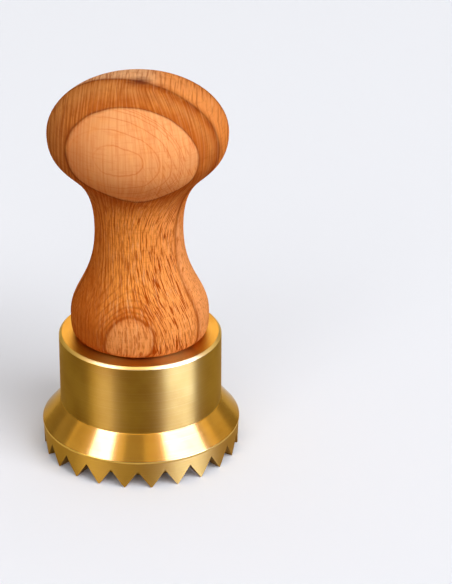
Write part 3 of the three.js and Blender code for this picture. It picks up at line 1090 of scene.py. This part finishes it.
# Floor, lamps and world
stageSettings = {
    "floorRadius": 4.0,
    "floorSides": 96,
    "floorRoughness": 0.9,
    "floorColour": linear(231, 234, 242),
    "floorBounce": linear(168, 142, 114),  # what it throws back on matt faces
    "worldTint": (1.0, 0.96, 0.9, 1.0),
    "worldBack": (0.1, 0.75, 0.05, 0.45),   # y from, y to, strength there: a pale wall behind
    "worldHigh": (0.35, 0.75),              # z from and to
    "worldTop": 0.62,
    "worldUnder": (0.35, -0.25, 0.12, 1.3),  # x from, x to, strength there, only met through the floor
    "worldDeep": (-0.2, -0.5),
    "lampDistance": 8.0,
}
# azimuth from the front towards +X, elevation, width and height seen from the object, roll, all in degrees
washLamps = {  # not mirrored in metal
    "key_wash": {"azimuth": 50, "elevation": 38, "width": 40, "height": 40, "radiance": 4.9},
    "front_wash": {"azimuth": -10, "elevation": 36, "width": 50, "height": 40, "radiance": 1.9},
}
sheenLamps = {  # only mirrored; the last three are below the floor and met only from underneath
    "key_high": {"azimuth": 65.5, "elevation": 48, "width": 39, "height": 20, "roll": -19,
                 "radiance": 7.5, "tint": (1.0, 1.3, 6.8)},
    "key_soft": {"azimuth": 63, "elevation": 45, "width": 76, "height": 20, "roll": -19, "radiance": 0.7},
    "fill_high": {"azimuth": -56, "elevation": 49, "width": 21, "height": 19, "roll": 15,
                  "radiance": 7.5, "tint": (1.0, 1.3, 6.8)},
    "fill_soft": {"azimuth": -66, "elevation": 43, "width": 60, "height": 20, "roll": 15, "radiance": 0.8},
    "top_front": {"azimuth": 0, "elevation": 67, "width": 60, "height": 15, "radiance": 2.4},
    "back_wall": {"azimuth": 180, "elevation": 27, "width": 44, "height": 20, "radiance": 1.75,
                  "tint": (1.0, 1.1, 2.6)},
    "side_right": {"azimuth": 115, "elevation": 24, "width": 40, "height": 22, "radiance": 0.8},
    "side_left": {"azimuth": -115, "elevation": 26, "width": 40, "height": 22, "radiance": 0.4},
    "key_low": {"azimuth": 57, "elevation": 15, "width": 42, "height": 26, "radiance": 11.0,
                "tint": (1.0, 1.75, 10.0)},
    "fill_low": {"azimuth": -54, "elevation": 15, "width": 32, "height": 26, "radiance": 4.2,
                 "tint": (1.0, 1.1, 1.1)},
    "under_back": {"azimuth": 160, "elevation": -52, "width": 34, "height": 16, "radiance": 4.0},
    "under_left": {"azimuth": -110, "elevation": -30, "width": 24, "height": 24, "radiance": 3.0},
    "under_front": {"azimuth": 25, "elevation": -30, "width": 24, "height": 24, "radiance": 3.0},
}


def addStage():
    bm = bmesh.new()
    bmesh.ops.create_circle(bm, cap_ends=True, segments=stageSettings["floorSides"],
                            radius=stageSettings["floorRadius"])
    mesh = bpy.data.meshes.new("floor")
    bm.to_mesh(mesh)
    bm.free()
    floor = bpy.data.objects.new("floor", mesh)
    bpy.context.scene.collection.objects.link(floor)
    material, tree, shader = newMaterial("pale_floor")
    matt = addNode(tree, "ShaderNodeLightPath").outputs["Is Diffuse Ray"]
    colour = mixColour(tree, matt, stageSettings["floorColour"], stageSettings["floorBounce"])
    tree.links.new(colour, shader.inputs["Base Color"])
    shader.inputs["Roughness"].default_value = stageSettings["floorRoughness"]
    shader.inputs["Specular IOR Level"].default_value = 0.0
    # clear to a viewer below the floor, and to the light on what they see
    clear = addNode(tree, "ShaderNodeBsdfTransparent").outputs[0]
    below = addNode(tree, "ShaderNodeNewGeometry").outputs["Backfacing"]
    through = addNode(tree, "ShaderNodeLightPath").outputs["Transparent Depth"]
    below = calc(tree, "ADD", below, through, clamp=True)
    oneSided = addNode(tree, "ShaderNodeMixShader", {0: below, 1: shader.outputs[0], 2: clear})
    tree.links.new(oneSided.outputs[0], tree.nodes["Material Output"].inputs["Surface"])
    mesh.materials.append(material)


def addLamp(name, lamp, mirrored):
    reach = stageSettings["lampDistance"]
    azimuth, elevation = math.radians(lamp["azimuth"]), math.radians(lamp["elevation"])
    way = Vector((math.sin(azimuth) * math.cos(elevation), -math.cos(azimuth) * math.cos(elevation),
                  math.sin(elevation)))
    data = bpy.data.lights.new(name, "AREA")
    data.shape = "RECTANGLE"
    data.size = 2 * reach * math.tan(math.radians(lamp["width"] / 2))
    data.size_y = 2 * reach * math.tan(math.radians(lamp["height"] / 2))
    data.energy = lamp["radiance"] * math.pi * data.size * data.size_y
    data.color = lamp.get("tint", (1, 1, 1))
    panel = bpy.data.objects.new(name, data)
    roll = Matrix.Rotation(math.radians(lamp.get("roll", 0)), 3, "Z")
    turn = way.to_track_quat("Z", "Y").to_matrix() @ roll
    panel.matrix_world = Matrix.Translation(way * reach) @ turn.to_4x4()
    panel.visible_diffuse = not mirrored
    panel.visible_glossy = mirrored
    bpy.context.scene.collection.objects.link(panel)


def addWorld():
    stage = stageSettings
    world = bpy.data.worlds.new("studio")
    world.use_nodes = True
    tree = world.node_tree
    x, y, z = split(tree, addNode(tree, "ShaderNodeTexCoord").outputs["Generated"])
    high = mapRange(tree, z, *stage["worldHigh"])
    behind = product(tree, mapRange(tree, y, *stage["worldBack"]), calc(tree, "SUBTRACT", 1.0, high))
    under = product(tree, mapRange(tree, x, *stage["worldUnder"]), mapRange(tree, z, *stage["worldDeep"]))
    level = calc(tree, "ADD", behind, product(tree, high, stage["worldTop"]))
    background = tree.nodes["Background"]
    background.inputs["Color"].default_value = stage["worldTint"]
    tree.links.new(calc(tree, "ADD", level, under), background.inputs["Strength"])
    bpy.context.scene.world = world


addCamera()
addStage()
for lampName, lampSettings in washLamps.items():
    addLamp(lampName, lampSettings, mirrored=False)
for lampName, lampSettings in sheenLamps.items():
    addLamp(lampName, lampSettings, mirrored=True)
addWorld()
bpy.context.scene.view_settings.view_transform = "Standard"
print("stage ready")
